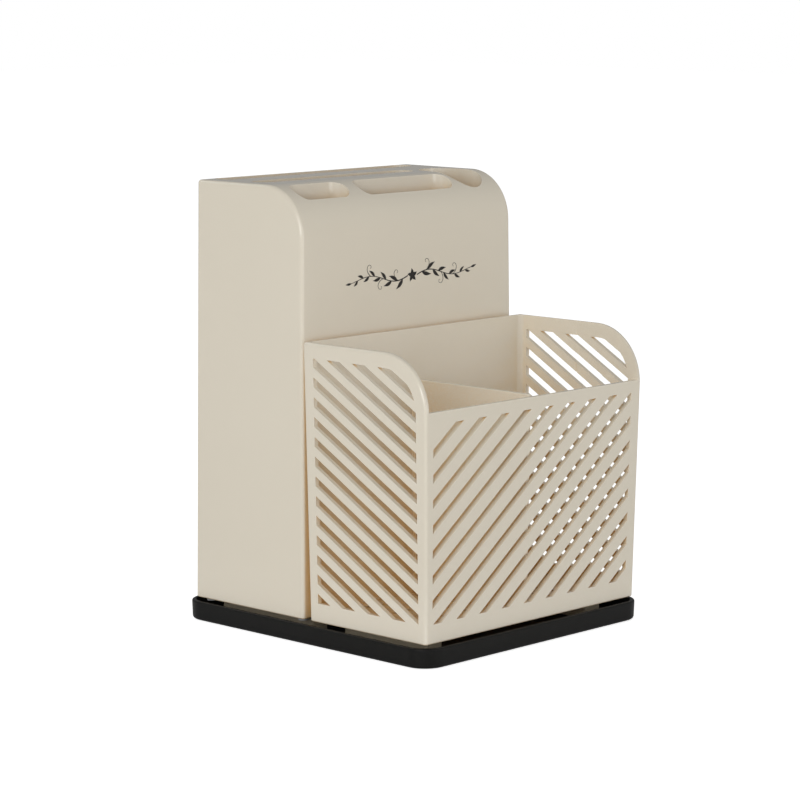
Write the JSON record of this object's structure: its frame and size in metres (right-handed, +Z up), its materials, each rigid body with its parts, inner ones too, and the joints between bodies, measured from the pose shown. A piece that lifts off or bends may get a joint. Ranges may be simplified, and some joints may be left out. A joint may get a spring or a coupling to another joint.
{
  "type": "desk organizer",
  "caption": "Free-standing organizer: a tall closed block with drop-in openings and an open slatted basket with a lift-out partition, standing in a shallow drip tray.",
  "frame": {"origin": "middle of the footprint, on the surface that the tray's pads stand on", "axes": "+X to the right along the front, +Y to the back, towards the tall block, +Z up"},
  "size_m": [0.1752, 0.1842, 0.2418],
  "materials": {
    "housing": "injection-moulded ABS, warm cream, fine satin gloss",
    "inner_plastic": "moulded polypropylene, warm grey-beige, matt",
    "tray_plastic": "injection-moulded polypropylene, black, fine satin texture",
    "pad_rubber": "die-cut soft rubber, dark grey",
    "screw_steel": "zinc-plated steel",
    "print_ink": "pad-printed ornament in near-black ink"
  },
  "bodies": {
    "tray": {"drip_tray": "tray_plastic", "pad_front_left": "pad_rubber", "pad_front_right": "pad_rubber", "pad_rear_left": "pad_rubber", "pad_rear_right": "pad_rubber"},
    "block": {"block_shell": "housing", "block_base": "inner_plastic", "block_runner_left": "inner_plastic", "block_runner_right": "inner_plastic", "divider_rear": "inner_plastic", "divider_middle": "inner_plastic", "divider_cross": "inner_plastic", "divider_short": "inner_plastic", "base_screws": "screw_steel"},
    "basket": {"basket_shell": "housing", "basket_floor": "housing", "basket_runner_left": "inner_plastic", "basket_runner_right": "inner_plastic"},
    "partition": {"basket_partition": "housing"}
  },
  "joints": [
    {"name": "block_lift", "type": "slide", "parent": "tray", "child": "block", "axis": [0, 0, 1], "range_m": [0, 0.06]},
    {"name": "basket_lift", "type": "slide", "parent": "tray", "child": "basket", "axis": [0, 0, 1], "range_m": [0, 0.06]},
    {"name": "partition_lift", "type": "slide", "parent": "basket", "child": "partition", "axis": [0, 0, 1], "range_m": [0, 0.125]}
  ]
}
